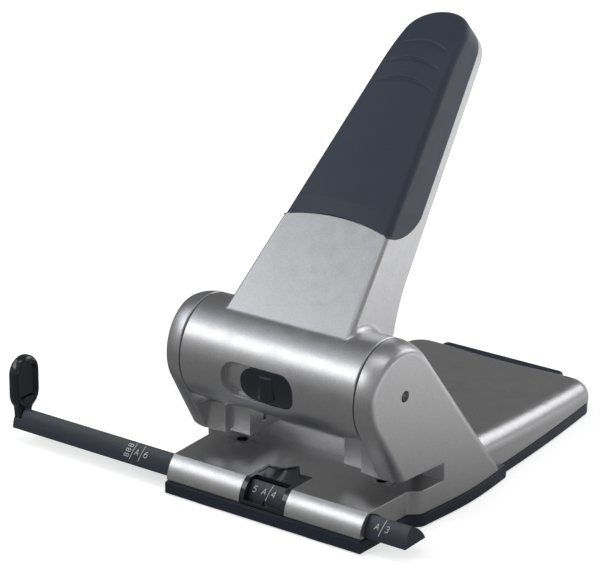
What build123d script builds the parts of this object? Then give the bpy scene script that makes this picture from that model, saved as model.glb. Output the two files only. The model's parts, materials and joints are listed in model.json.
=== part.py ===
from build123d import *
import os
from math import cos, sin, radians, sqrt

# Heavy two-hole desk punch, millimetres. X runs along the lever's pivot, Y from the paper's
# edge towards the rear, Z up. The origin is on the table top, right under the pivot and
# midway between the two punch pins.

# ---- driving dimensions ---------------------------------------------------------------
HOLE_SPACING = 80.0          # ISO 838 two-hole filing
HOLE_DEPTH = 12.0            # hole centre to the paper's edge
PIN_R = 2.75
PIN_Y = 13.0                 # also the base circle of the drive cam
PAPER_STOP_Y = PIN_Y + HOLE_DEPTH

PIVOT_Z = 69.0
BARREL_R = 24.6
BARREL_WALL = 2.6
BARREL_HALF = 48.2
AXLE_R = 2.7

RIM_BOTTOM = 0.8             # dark base frame, carried on the rubber pads
RIM_TOP = 7.0
TABLE_Z = 18.4
TABLE_THICK = 4.0
JAW_Z = 27.5                 # underside of the jaws: the paper slot is TABLE_Z to JAW_Z
JAW_TOP = 41.4
NOSE_Y = -26.3
CREASE_Y = -19.9             # where the curved front face meets the table
SLOT_END_Y = 29.5

CHEEK_IN = 48.7
CHEEK_REACH = 17.5           # width that is modelled before the outer face trims it
CHEEK_SECTION_R = 19.3       # rounding of the cheek's shoulder, seen along its edge
CHEEK_CREASE_R = 3.0         # between that shoulder and the outer face
BARREL_END_CHAMFER = 0.5
DECK_FRONT_Y = 30.0
DECK_FRONT_Z = 28.6
DECK_REAR_Y = 184.5
DECK_SLOPE = -0.0834
DECK_ROUND = 8.0
REAR_CORNER_R = 13.0
LIP_TOP = 15.8               # pull edge of the drawer

LEVER_TRAVEL = 53.3          # degrees from rest to the bottom of the stroke
LEVER_INCLINE = 44.3         # front face above the horizontal at rest
FACE_OFFSET = 22.4           # front face to the pivot axis
CAM_LIFT_AT_REST = 7.0       # pivot axis down to the cam's contact line
CAM_GAP = 0.3
HANDLE_W0 = 36.1             # half width where the face passes the pivot
HANDLE_TAPER = 0.111
HANDLE_TIP = 186.5
HANDLE_EDGE_R = 2.5          # rounding of the handle's front edges
HANDLE_FOOT_R = 3.5          # hollow rounding where the handle grows out of the barrel
SKIN = 2.3

RAIL_LEFT, RAIL_RIGHT = -153.0, 76.5
STOP_FACE_X = -148.5         # half of 297 mm, for the A4 setting
DRAWER_HALF = 47.5
BUSH_R = 4.6
BOLT_R, BOLT_RADIUS, BOLT_ANGLE = 2.2, 16.4, 187.0
RECESS_X, RECESS_HALF_X, RECESS_HALF_Z = -4.3, 20.0, 8.6
RECESS_FLOOR_R = 21.2
KNOB_HALF_X = 14.4
SPRING_R = 4.0
SPRING_WIRE = 0.45
# screws that join the casting to its frame
SCREW_SPOTS = [(sx * x, y) for sx in (-1, 1) for x, y in ((55.0, 45.0), (52.0, 150.0))]
# pads under the frame: low X, high X, front and rear; one that starts at 0 is a single strip
FRONT_PAD = (0.0, 46.0, -9.0, 9.0)
TOE_PAD = (24.0, 38.0, -25.6, -15.6)
REAR_PAD = (0.0, 42.0, 150.0, 168.0)

RUNNING = 0.05               # radial clearance of shafts in their holes
SLIDING = 0.3

PIVOT = (0.0, PIVOT_Z)
SIDES = (("left", -1), ("right", 1))


# ---- helpers --------------------------------------------------------------------------
def side_prism(face, x0, x1):
    """Extrude a (Y, Z) sketch along X."""
    return extrude(Plane.YZ.offset(x0) * face, amount=x1 - x0)


def plan_prism(face, z0, z1):
    """Extrude an (X, Y) sketch along Z."""
    return extrude(Plane.XY.offset(z0) * face, amount=z1 - z0)


def block(x0, x1, y0, y1, z0, z1):
    return Pos((x0 + x1) / 2, (y0 + y1) / 2, (z0 + z1) / 2) * Box(x1 - x0, y1 - y0, z1 - z0)


def rod_x(radius, x0, x1, y, z):
    return Pos((x0 + x1) / 2, y, z) * Rot(0, 90, 0) * Cylinder(radius, x1 - x0)


def rod_z(radius, z0, z1, x, y):
    return Pos(x, y, (z0 + z1) / 2) * Cylinder(radius, z1 - z0)


def polygon(*points):
    return make_face(Polyline(*points, close=True))


def closed(*edges):
    return make_face(list(edges))


def polar(radius, angle):
    """A (Y, Z) point round the pivot; the angle is counted from +Y towards +Z."""
    return (radius * cos(radians(angle)), PIVOT_Z + radius * sin(radians(angle)))


def sector(radius, start, end):
    """A (Y, Z) pie slice round the pivot."""
    mid = (start + end) / 2
    if end - start > 170:
        return sector(radius, start, mid) + sector(radius, mid, end)
    return closed(
        Line(PIVOT, polar(radius, start)),
        ThreePointArc(polar(radius, start), polar(radius, mid), polar(radius, end)),
        Line(polar(radius, end), PIVOT))


def deck_z(y):
    return DECK_FRONT_Z + DECK_SLOPE * (y - DECK_FRONT_Y)


def mirrored(shape, side):
    return shape if side > 0 else mirror(shape, Plane.YZ)


FRONT_EDGE_DIR = (0.520, -0.854)     # (Y, Z) run of the cheek's front edge
REAR_EDGE_DIR = (0.6495, -0.7604)    # and of its rear edge


# ---- base: plan outlines --------------------------------------------------------------
CHEEK_PLAN = [(57.2, -27), (57.7, -23), (58.9, -12), (60.3, 5), (62.3, 25), (64.1, 47), (63.8, 66),
              (62.2, 86)]


def front_plan(inset=0.0):
    """Outline of the front base, from the nose to the end of the cheeks."""
    jog = 11.5
    right = [
        Line((54.4 - inset, -30), (56.1 - inset, jog - 3.5)),
        Spline((56.1 - inset, jog - 3.5), (58.6 - inset, jog), (61.3 - inset, jog + 3.8),
               tangents=[(1.7, 38), (1.4, 8)]),
        Spline((61.3 - inset, jog + 3.8), (62.3 - inset, 25), (64.1 - inset, 47),
               (63.8 - inset, 66), (62.4 - inset, 84), tangents=[(1.4, 14), (-1.6, 18)])]
    left = [mirror(edge, Plane.YZ) for edge in right]
    wide, narrow = 62.4 - inset, 54.4 - inset
    return closed(*right, *left, Line((wide, 84), (-wide, 84)), Line((narrow, -30), (-narrow, -30)))


def rear_plan(inset=0.0, front=78.0, front_half=60.4):
    """Outline of the rear deck, with its large rear corners."""
    corner = REAR_CORNER_R - inset
    x_front, x_rear = front_half - inset, 55.0 - inset
    y_rear = DECK_REAR_Y - inset
    y_corner = y_rear - corner
    side = ThreePointArc((x_front, front), (58.9 - inset, 122), (x_rear, y_corner))
    reach = corner * (1 - cos(radians(45)))
    turn = ThreePointArc((x_rear, y_corner), (x_rear - reach, y_rear - reach),
                         (x_rear - corner, y_rear))
    right = [side, turn]
    left = [mirror(edge, Plane.YZ) for edge in right]
    return closed(*right, *left, Line((x_rear - corner, y_rear), (corner - x_rear, y_rear)),
                  Line((x_front, front), (-x_front, front)))


def lip_plan(gap):
    """Notch in the deck's rear edge for the drawer's pull: a shallow arc, open to the rear."""
    half, ends, middle, rear = 35.7 + gap, 179.8 - gap, 176.6 - gap, 200
    return closed(
        ThreePointArc((-half, ends), (0, middle), (half, ends)),
        Line((half, ends), (half, rear)), Line((half, rear), (-half, rear)),
        Line((-half, rear), (-half, ends)))


# ---- base: silver casting -------------------------------------------------------------
RAIL_FRONT, RAIL_BACK, RAIL_Z = -22.6, -6.2, 7.3


def rail_section(gap=0.0):
    """Rail profile: flat sole, leaning front, rounded back."""
    top = (-18.4, 17.1 + gap)
    front, back, sole = RAIL_FRONT - gap, RAIL_BACK + gap, RAIL_Z - gap
    return closed(
        Line((front, sole), (back, sole)),
        ThreePointArc((back, sole), (-10.9 + gap, 12.9 + gap), top),
        ThreePointArc(top, (-21.3 - gap, 12.6 + gap / 2), (front, sole)))


def front_body():
    """Table with its curved nose, from the rim up to the paper table and its stop wall."""
    back = 40.0
    profile = closed(
        Line((NOSE_Y + 0.9, RIM_TOP), (NOSE_Y + 0.9, RIM_TOP + 0.7)),
        Line((NOSE_Y + 0.9, RIM_TOP + 0.7), (NOSE_Y, RIM_TOP + 0.7)),
        ThreePointArc((NOSE_Y, RIM_TOP + 0.7), (-24.2, 14.2), (CREASE_Y, TABLE_Z)),
        Line((CREASE_Y, TABLE_Z), (PAPER_STOP_Y, TABLE_Z)),
        Line((PAPER_STOP_Y, TABLE_Z), (PAPER_STOP_Y, JAW_Z - 0.6)),
        ThreePointArc((PAPER_STOP_Y, JAW_Z - 0.6), (PAPER_STOP_Y + 0.9, JAW_Z + 0.8),
                      (PAPER_STOP_Y + 3, DECK_FRONT_Z)),
        Line((PAPER_STOP_Y + 3, DECK_FRONT_Z), (DECK_FRONT_Y, DECK_FRONT_Z)),
        Line((DECK_FRONT_Y, DECK_FRONT_Z), (back, deck_z(back))),
        Line((back, deck_z(back)), (back, RIM_TOP)),
        Line((back, RIM_TOP), (NOSE_Y + 0.9, RIM_TOP)))
    body = side_prism(profile, -70, 70) & plan_prism(front_plan(), 0, 40)
    # the table's own side walls end at the paper slot, which runs on through the cheeks
    slot_walls = block(CHEEK_IN - 0.6, 80, PAPER_STOP_Y - 1, SLOT_END_Y, TABLE_Z, JAW_Z + 3)
    return body - slot_walls - mirror(slot_walls, Plane.YZ)


def deck_body():
    """Sloping rear deck with rounded shoulders."""
    front = 33.0
    profile = polygon((front, RIM_TOP), (front, deck_z(front)), (200, deck_z(200)), (200, RIM_TOP))
    body = side_prism(profile, -70, 70) & plan_prism(rear_plan(front=front, front_half=61.3), 0, 40)
    top = body.faces().sort_by(Axis.Z)[-1]
    rim = [e for e in top.edges() if e.center().Y > front + 1]
    return fillet(rim, DECK_ROUND)


def cheek_section():
    """Three (X, drop below the edge line) points of the cheek's domed shoulder."""
    across = (0.0, 8.0, CHEEK_REACH)
    return [(CHEEK_IN + x, CHEEK_SECTION_R - sqrt(CHEEK_SECTION_R ** 2 - x ** 2)) for x in across]


def cheek_body():
    """One cheek (right side): round head with two straight flanks, domed on its outside."""
    start, mid, end = cheek_section()
    depth = 30.0

    def strip(direction, normal):
        # the domed shoulder carried along a straight flank, from the head to below the base
        plane = Plane(origin=(0, 0, PIVOT_Z), x_dir=(1, 0, 0),
                      z_dir=(0, direction[0], direction[1]))
        up = 1 if plane.y_dir.Y * normal[0] + plane.y_dir.Z * normal[1] > 0 else -1
        rim = BARREL_R
        pts = [(start[0], up * (rim - start[1])), (mid[0], up * (rim - mid[1])),
               (end[0], up * (rim - end[1]))]
        inner = up * (rim - depth)
        face = closed(ThreePointArc(*pts), Line(pts[2], (end[0], inner)),
                      Line((end[0], inner), (start[0], inner)), Line((start[0], inner), pts[0]))
        return extrude(plane * face, amount=110)

    head_face = closed(
        Line((CHEEK_IN, 0), (end[0], 0)), Line((end[0], 0), (end[0], BARREL_R - end[1])),
        ThreePointArc((end[0], BARREL_R - end[1]), (mid[0], BARREL_R - mid[1]),
                      (start[0], BARREL_R)),
        Line((CHEEK_IN, BARREL_R), (CHEEK_IN, 0)))
    turned = Plane(origin=(0, 0, PIVOT_Z), x_dir=(1, 0, 0), z_dir=(0, -1, 0)) * head_face
    head = revolve(turned, Axis((0, 0, PIVOT_Z), (1, 0, 0)), 360)
    front_normal = (FRONT_EDGE_DIR[1], -FRONT_EDGE_DIR[0])
    rear_normal = (-REAR_EDGE_DIR[1], REAR_EDGE_DIR[0])
    flanks = strip(FRONT_EDGE_DIR, front_normal) + strip(REAR_EDGE_DIR, rear_normal)
    core_face = polygon((0, PIVOT_Z), (-2, 50), (22, 7), (62, 7), (8, PIVOT_Z))
    core = side_prism(core_face, CHEEK_IN, CHEEK_IN + CHEEK_REACH)
    cheek = head + flanks + core
    cheek -= block(40, 90, -40, SLOT_END_Y, -80, JAW_Z)
    cheek &= block(40, 90, -40, 120, RIM_TOP, 110)
    inside, front, rear = 40, CHEEK_PLAN[0], CHEEK_PLAN[-1]
    plan = closed(Spline(*CHEEK_PLAN), Line(rear, (inside, rear[1])),
                  Line((inside, rear[1]), (inside, front[1])), Line((inside, front[1]), front))
    cheek &= plan_prism(plan, 0, 110)
    crease = [e for e in cheek.edges().filter_by(GeomType.BSPLINE)
              if (e @ 0.5).X > 57 and (e @ 0.5).Z > 40]
    cheek = fillet(crease, CHEEK_CREASE_R)
    ring = [e for e in cheek.edges().filter_by(GeomType.CIRCLE)
            if max(abs((e @ t).X - CHEEK_IN) for t in (0, 0.5, 1)) < 0.01]
    return chamfer(ring, BARREL_END_CHAMFER)


def flank_y(z):
    """Front edge line of the cheek at one height."""
    nose_y, nose_z = BARREL_R * FRONT_EDGE_DIR[1], PIVOT_Z - BARREL_R * FRONT_EDGE_DIR[0]
    return nose_y + (nose_z - z) * -FRONT_EDGE_DIR[0] / FRONT_EDGE_DIR[1]


def jaw_blend(front):
    """Two facets that carry the cheek's front flank over into the jaw's front face."""
    back, outer, low_x, high_x = 0.0, CHEEK_IN + 0.5, 39.4, 46.0
    a, b = (high_x, front, JAW_TOP), (low_x, front, JAW_Z)
    c, d = (outer, flank_y(JAW_Z) + 0.15, JAW_Z), (outer, flank_y(JAW_TOP) + 0.15, JAW_TOP)
    a2, b2 = (high_x, back, JAW_TOP), (low_x, back, JAW_Z)
    c2, d2 = (outer, back, JAW_Z), (outer, back, JAW_TOP)
    rings = [(a, b, c), (a, c, d), (a, a2, b2, b), (a2, d2, c2, b2), (c, c2, d2, d),
             (b, b2, c2, c), (a, d, d2, a2)]
    return Solid(Shell([Face(Wire.make_polygon(ring, close=True)) for ring in rings]))


def jaw_body():
    """One jaw (right side): the block that guides the punch pin above the paper slot."""
    inner_front, outer_front = 1.2, -2.2
    inner = block(26.7, 38.6, inner_front, 31, JAW_Z, JAW_TOP)
    outer = block(38.5, CHEEK_IN + 1, outer_front, 31, JAW_Z, JAW_TOP)
    jaw = inner + outer + jaw_blend(outer_front)
    slope = side_prism(polygon((26.2, JAW_TOP + 1), (33, JAW_TOP + 1), (33, 30), (31.5, 29)), 20, 60)
    jaw -= slope
    # a groove in the inner face, in front of the pin
    jaw -= block(26, 29.2, 11.6, 14.0, 31.5, JAW_TOP + 1)
    # small curved tongue behind the pin, pointing to the middle
    tongue = side_prism(closed(
        ThreePointArc((19, 38.6), (25.5, 36.5), (29, 30)), Line((29, 30), (27, 30)),
        ThreePointArc((27, 30), (24.3, 35), (19, 36.6)), Line((19, 36.6), (19, 38.6))), 24.2, 27)
    return jaw + tongue


def window_plan(gap=0.0):
    """Table-top outline of the display insert, with its arrow to the paper's middle."""
    half, arrow = 12.8 + gap, 5.4
    back = -3.2 + gap
    return polygon((-half, -30), (-half, back), (-arrow, back), (0, 3.6 + gap), (arrow, back),
                   (half, back), (half, -30))


def rough_casting():
    body = front_body() + deck_body()
    for _, side in SIDES:
        body += mirrored(cheek_body(), side)
        body += mirrored(jaw_body(), side)
    cavity = polygon((0, 5), (0, TABLE_Z - TABLE_THICK), (27.4, TABLE_Z - TABLE_THICK),
                     (30.4, deck_z(30.4) - 3), (190, deck_z(190) - 2.4), (190, 5))
    body -= side_prism(cavity, -DRAWER_HALF - 0.8, DRAWER_HALF + 0.8)
    body -= plan_prism(lip_plan(0.4), 0, 40)
    body -= side_prism(rail_section(SLIDING), -80, 80)
    body -= block(-80, 80, RAIL_FRONT - SLIDING, RAIL_BACK + SLIDING, 5, RAIL_Z + 0.2)
    return body


def base_casting(rough):
    body = rough - plan_prism(window_plan(), 0, 40)
    body -= rod_x(AXLE_R, -80, 80, 0, PIVOT_Z)
    for _, side in SIDES:
        x = side * HOLE_SPACING / 2
        body -= rod_z(7.0, TABLE_Z - 3, TABLE_Z + 0.1, x, PIN_Y)
        body -= rod_z(3.6, 10, TABLE_Z, x, PIN_Y)
        body -= rod_z(5.0, JAW_Z + 2.5, JAW_TOP + 2, x, PIN_Y)
        body -= rod_z(PIN_R + 0.3, JAW_Z - 1, JAW_Z + 3, x, PIN_Y)
    for angle in (BOLT_ANGLE, BOLT_ANGLE - LEVER_TRAVEL):
        y, z = polar(BOLT_RADIUS, angle)
        body -= rod_x(BOLT_R + 0.4, -CHEEK_IN - 8.0, -CHEEK_IN + 0.5, y, z)
    for x, y in SCREW_SPOTS:
        body -= rod_z(1.4, RIM_TOP - 1, RIM_TOP + 7, x, y)
    return body


def window_frame(rough):
    frame = rough & plan_prism(window_plan(), 0, 40)
    opening = block(-10.2, 10.2, -31, -15.8, RIM_TOP + 2.2, 30)
    rim = polygon((-11.2, -14), (-11.2, -4.6), (-4.9, -4.6), (0, 1.2), (4.9, -4.6), (11.2, -4.6),
                  (11.2, -14))
    pocket = plan_prism(rim, TABLE_Z - 0.5, TABLE_Z + 1)
    mark = plan_prism(polygon((-1.8, -32), (1.8, -32), (0, -23.4)), RIM_TOP + 1.0, RIM_TOP + 3.8)
    return frame - opening - pocket + (frame & mark)


# ---- base: dark frame, drawer, pads ---------------------------------------------------
def pad_blocks(pad, z0, z1):
    """Both blocks of a pad, or its single one where it starts in the middle."""
    x0, x1, y0, y1 = pad
    if x0 == 0:
        return [block(-x1, x1, y0, y1, z0, z1)]
    return [block(x0, x1, y0, y1, z0, z1), block(-x1, -x0, y0, y1, z0, z1)]


def base_frame():
    """Dark rim under the casting, with a floor that carries the drawer and the pads."""
    ledge_z = RIM_TOP - 0.8
    nose = block(-80, 80, NOSE_Y - 0.5, 90, 0, ledge_z) + block(-80, 80, NOSE_Y, 90, 0, RIM_TOP)
    outer = plan_prism(front_plan(-0.7), RIM_BOTTOM, ledge_z)
    outer += plan_prism(front_plan(-0.1), ledge_z, RIM_TOP)
    outer &= nose
    outer += plan_prism(rear_plan(0.3), RIM_BOTTOM, ledge_z)
    outer += plan_prism(rear_plan(0.9), ledge_z, RIM_TOP)
    floor_top = RIM_BOTTOM + 2.4
    inside = block(-DRAWER_HALF - 0.5, DRAWER_HALF + 0.5, -1.2, 200, floor_top, 10)
    channel = block(-80, 80, RAIL_FRONT - 1.2, RAIL_BACK + 1.2, RAIL_Z - 0.5, 10)
    front_inside = block(-51, 51, RAIL_FRONT - 1.2, RAIL_BACK + 1.2, floor_top, 10)
    frame = outer - inside - channel - front_inside
    for pad in (FRONT_PAD, TOE_PAD, REAR_PAD):
        for recess in pad_blocks(pad, 0, RIM_BOTTOM + 1.0):
            frame -= recess
    for x, y in SCREW_SPOTS:
        frame -= rod_z(1.6, 0, 10, x, y)
        frame -= rod_z(3.2, 0, RIM_BOTTOM + 2.0, x, y)
    return frame


def rubber_pad(*pads):
    pieces = [chamfer(piece.edges().filter_by(Axis.Z), 1.0)
              for pad in pads for piece in pad_blocks(pad, 0, RIM_BOTTOM + 1.0)]
    return pieces[0] if len(pieces) == 1 else Compound(children=pieces)


def base_screws():
    screws = []
    for x, y in SCREW_SPOTS:
        head = rod_z(2.9, RIM_BOTTOM + 0.2, RIM_BOTTOM + 2.0, x, y)
        slot = block(x - 2, x + 2, y - 0.4, y + 0.4, 0, RIM_BOTTOM + 0.9)
        screws.append(head - slot + rod_z(1.4, RIM_BOTTOM + 2.0, RIM_TOP + 6.5, x, y))
    return Compound(children=screws)


def chip_drawer():
    floor_z = RIM_BOTTOM + 2.7
    top_z = 12.9
    wall = 1.6
    body = block(-DRAWER_HALF, DRAWER_HALF, 0.6, 181.0, floor_z, top_z)
    corner = 5.0
    body = fillet(body.edges().filter_by(Axis.Z).group_by(Axis.Y)[0], corner)
    hollow = block(-DRAWER_HALF + wall, DRAWER_HALF - wall, 0.6 + wall, 174.0, floor_z + wall, 20)
    hollow = fillet(hollow.edges().filter_by(Axis.Z), corner - wall)
    body -= hollow
    rear = plan_prism(rear_plan(0.8, front=150), floor_z, top_z)
    body &= rear + block(-80, 80, -10, 151, 0, 40)
    lip = plan_prism(lip_plan(-0.1), floor_z, LIP_TOP)
    lip &= block(-60, 60, 170, DECK_REAR_Y - 0.1, 0, 40)
    corners = [e for e in lip.edges().filter_by(Axis.Z) if e.center().Y > DECK_REAR_Y - 1]
    lip = fillet(corners, 3.0)
    ridge = [e for e in lip.edges().group_by(Axis.Z)[-1] if e.center().Y > DECK_REAR_Y - 3]
    return body + fillet(ridge, 1.2)


def die_insert(side):
    x = side * HOLE_SPACING / 2
    plate = rod_z(7.0, TABLE_Z - 3, TABLE_Z, x, PIN_Y)
    return plate - rod_z(PIN_R + 0.06, 0, 40, x, PIN_Y)


def punch_guide_sleeve(side):
    x = side * HOLE_SPACING / 2
    sleeve = rod_z(5.0, JAW_Z + 2.5, JAW_TOP, x, PIN_Y) + rod_z(5.6, JAW_TOP, JAW_TOP + 1, x, PIN_Y)
    return sleeve - rod_z(PIN_R + RUNNING, 0, 90, x, PIN_Y)


def pivot_axle():
    half = CHEEK_IN + 8.2
    axle = rod_x(AXLE_R, -half, half, 0, PIVOT_Z)
    for end in (-1, 1):
        axle -= Pos(end * (half - 4.2), 0, PIVOT_Z) * Rot(0, 90, 0) * (
            Cylinder(AXLE_R + 1, 0.9) - Cylinder(AXLE_R - 0.6, 2))
        axle -= Pos(end * half, 0, PIVOT_Z) * Rot(0, -90 * end, 0) * Cone(0.1, 1.4, 2.4)
    return axle


# ---- lever ----------------------------------------------------------------------------
incline = radians(LEVER_INCLINE)
FACE_UP = (0.0, cos(incline), sin(incline))
FACE_OUT = (0.0, -sin(incline), cos(incline))
FACE_FOOT = (0.0, FACE_OUT[1] * FACE_OFFSET, PIVOT_Z + FACE_OUT[2] * FACE_OFFSET)
FACE = Plane(origin=FACE_FOOT, x_dir=(1, 0, 0), z_dir=FACE_OUT)
# (along the handle, out of its face) sketches are drawn in this plane and extruded along X
SIDE_VIEW = Plane(origin=FACE_FOOT, x_dir=FACE_UP, z_dir=(1, 0, 0))

def handle_plan(inset=0.0, start=-9.0):
    """(X, along) outline of the handle: straight tapering sides and a round tip."""
    lean = sqrt(1 + HANDLE_TAPER ** 2)
    centre = (HANDLE_TIP * lean - HANDLE_W0) / (lean - HANDLE_TAPER)
    radius = HANDLE_TIP - centre - inset
    width = HANDLE_W0 - HANDLE_TAPER * start - inset * lean
    touch_x, touch_s = radius / lean, centre + radius * HANDLE_TAPER / lean
    return closed(
        Line((-width, start), (width, start)), Line((width, start), (touch_x, touch_s)),
        ThreePointArc((touch_x, touch_s), (0, centre + radius), (-touch_x, touch_s)),
        Line((-touch_x, touch_s), (-width, start)))


def handle_side(inset=0.0, back=0.0):
    """(along, out) side view: flat front, tip that curves back, flared foot at the barrel."""
    n = -inset
    return closed(
        Line((-9, n), (150, n)),
        ThreePointArc((150, n), (170, n - 2.0), (190, n - 8.2)),
        Line((190, n - 8.2), (190, -23.0 - back)),
        Line((190, -23.0 - back), (62, -28.2 - back)),
        ThreePointArc((62, -28.2 - back), (42, -30.6 - back), (24, -38 - back)),
        Line((24, -38 - back), (-9, -38 - back)), Line((-9, -38 - back), (-9, n)))


def handle_solid(inset=0.0, back=0.0):
    along = extrude(SIDE_VIEW.offset(-60) * handle_side(inset, back), amount=120)
    across = extrude(FACE.offset(-120) * handle_plan(inset), amount=140)
    return along & across


def handle_place(edge):
    """Middle of an edge in the handle's own directions: across, along, out of the face."""
    middle = edge @ 0.5
    arm = middle - Vector(*FACE_FOOT)
    return middle.X, arm.dot(Vector(*FACE_UP)), arm.dot(Vector(*FACE_OUT))


def rounded_handle():
    """Outer shape of the handle with its long front edges and its tip rounded."""
    handle = handle_solid()
    front = []
    for edge in handle.edges():
        across, along, out = handle_place(edge)
        long_side = abs(across) > 1 and out > -1 and along > 10
        tip = along > 180 and out > -10
        if long_side or tip:
            front.append(edge)
    return fillet(front, HANDLE_EDGE_R)


def below_handle():
    """Space round the pivot that the handle leaves free, seen from the side."""
    return side_prism(sector(60, -120, 24), -60, 60)


def lever_outside():
    """Handle and barrel as one solid body, with a hollow rounding where they meet."""
    outside = (rounded_handle() - below_handle()) + rod_x(BARREL_R, -BARREL_HALF, BARREL_HALF,
                                                          0, PIVOT_Z)
    foot = []
    for edge in outside.edges():
        points = [edge @ t for t in (0.05, 0.5, 0.95)]
        on_barrel = max(abs(sqrt(p.Y ** 2 + (p.Z - PIVOT_Z) ** 2) - BARREL_R) for p in points)
        if on_barrel < 0.02 and max(abs(p.X) for p in points) < 40:
            foot.append(edge)
    outside = fillet(foot, HANDLE_FOOT_R)
    ends = [e for e in outside.edges().filter_by(GeomType.CIRCLE)
            if abs(abs((e @ 0.5).X) - BARREL_HALF) < 0.01]
    return chamfer(ends, BARREL_END_CHAMFER)


def grip_zone():
    """Space of the soft grip: front face and upper part of the sides."""
    side = closed(
        Line((62.8, 6), (62.8, -0.5)),
        ThreePointArc((62.8, -0.5), (72.2, -14.6), (86, -21.8)),
        Line((86, -21.8), (200, -17.7)), Line((200, -17.7), (200, 6)), Line((200, 6), (62.8, 6)))
    zone = extrude(SIDE_VIEW.offset(-60) * side, amount=120)
    bow = closed(
        ThreePointArc((-45, 57.0), (0, 67.2), (45, 57.0)), Line((45, 57.0), (45, 40)),
        Line((45, 40), (-45, 40)), Line((-45, 40), (-45, 57.0)))
    return zone - extrude(FACE.offset(-3.2) * bow, amount=20)


def barrel_inside():
    """Room inside the barrel, between its end webs, and the opening over the punches."""
    half = BARREL_HALF - BARREL_WALL
    return rod_x(BARREL_R - BARREL_WALL, -half, half, 0, PIVOT_Z) + side_prism(
        sector(40, -88, 22), -half, half)


def lock_recess(half_x, half_z, x, grow=0.0):
    """Oblong seen from the front, extruded back through the barrel's wall."""
    face = Rectangle(2 * (half_x + grow), 2 * (half_z + grow))
    face = fillet(face.vertices(), half_z * 0.86 + grow)
    plane = Plane(origin=(x, -40, PIVOT_Z - 3.0), x_dir=(1, 0, 0), z_dir=(0, -1, 0))
    return extrude(plane * face, amount=-28)


def tube(outer, inner, x0, x1):
    return rod_x(outer, x0, x1, 0, PIVOT_Z) - rod_x(inner, x0 - 1, x1 + 1, 0, PIVOT_Z)


def drive_cam(side):
    """Steel cam: its involute face moves the pin by the base radius times the lever's angle."""
    reach = radians(LEVER_TRAVEL + 2.5)

    def involute(phi):
        roll = CAM_LIFT_AT_REST + PIN_Y * phi
        return (PIN_Y * cos(phi) + roll * sin(phi), PIVOT_Z + PIN_Y * sin(phi) - roll * cos(phi))

    count = 12
    first = radians(-14)
    points = [involute(first + (reach - first) * i / count) for i in range(count + 1)]
    tip = points[-1]
    face = Spline(*points)
    lobe = closed(
        face, Line(tip, (tip[0] - 0.6, tip[1] + 3.4)),
        ThreePointArc((tip[0] - 0.6, tip[1] + 3.4), (16.5, PIVOT_Z + 8.0), (9, PIVOT_Z + 8.6)),
        Line((9, PIVOT_Z + 8.6), (0, PIVOT_Z + 7)), Line((0, PIVOT_Z + 7), (4.0, PIVOT_Z - 4.5)),
        Line((4.0, PIVOT_Z - 4.5), points[0]))
    hub = Pos(0, PIVOT_Z) * Circle(8.6)
    arm = polygon(polar(8, 60), polar(23.4, 102), polar(23.4, 130), polar(8, 172))
    plate = side_prism(lobe, 37.5, 42.5) + side_prism(hub, 37.5, 42.5) + side_prism(arm, 37.5, 42.5)
    plate -= rod_x(AXLE_R + 0.25, 30, 50, 0, PIVOT_Z)
    return mirrored(plate, side)


def lever_casting(cams):
    body = (lever_outside() - grip_zone()) + (handle_solid(SKIN) - below_handle())
    barrel = rod_x(BARREL_R, -BARREL_HALF, BARREL_HALF, 0, PIVOT_Z)
    body -= handle_solid(2 * SKIN, 4) - barrel
    body -= barrel_inside()
    pad = tube(BARREL_R - 1, RECESS_FLOOR_R - 2.2, -27, 19)
    pad &= side_prism(sector(40, 150, 224), -30, 25)
    body += pad
    recess = lock_recess(RECESS_HALF_X, RECESS_HALF_Z, RECESS_X)
    body -= recess & tube(40, RECESS_FLOOR_R, -50, 50)
    y, z = polar(BOLT_RADIUS, BOLT_ANGLE)
    body -= block(-13.2, 6.6, -30, y, z - 2.6, z + 2.6)
    body -= rod_x(BOLT_R + 0.3, -60, 14, y, z)
    for _, side in SIDES:
        boss = rod_x(8.0, 42.8, BARREL_HALF, 0, PIVOT_Z)
        body += mirrored(boss, side)
    body -= rod_x(BUSH_R, -60, 60, 0, PIVOT_Z)
    for cam in cams:
        body -= cam
    return body


def bearing_bush(side):
    bush = rod_x(BUSH_R, 42.8, BARREL_HALF, 0, PIVOT_Z) - rod_x(AXLE_R + RUNNING, 0, 90, 0, PIVOT_Z)
    return mirrored(bush, side)


def grip_cover():
    grip = (rounded_handle() & grip_zone()) - handle_solid(SKIN)
    # finger grooves near the tip, each a shallow bow across the face
    for s, half in ((140.0, 15.2), (151.0, 13.8), (161.0, 12.8)):
        radius = 60.0
        bow = sqrt(radius ** 2 - half ** 2)
        ring = Pos(0, s - radius + 2.0) * (Circle(radius) - Circle(radius - 1.4))
        ring &= Pos(0, s) * Rectangle(2 * half, 12)
        grip -= extrude(FACE.offset(-0.7) * ring, amount=4)
    return grip


def handle_back_cover():
    """Dark plate that closes the open back of the handle."""
    cover = handle_solid(2 * SKIN + 0.1, 0.8)
    keep = extrude(SIDE_VIEW.offset(-60) * closed(
        Line((30, -32.6), (60, -26.0)), Line((60, -26.0), (194, -20.8)),
        Line((194, -20.8), (194, -45)), Line((194, -45), (30, -45)),
        Line((30, -45), (30, -32.6))), amount=120)
    return cover & keep


# ---- punches --------------------------------------------------------------------------
HEAD_TOP = PIVOT_Z - CAM_LIFT_AT_REST - CAM_GAP
COLLAR_Z = HEAD_TOP - 3.4
PIN_TIP = JAW_Z + 0.3


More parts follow.
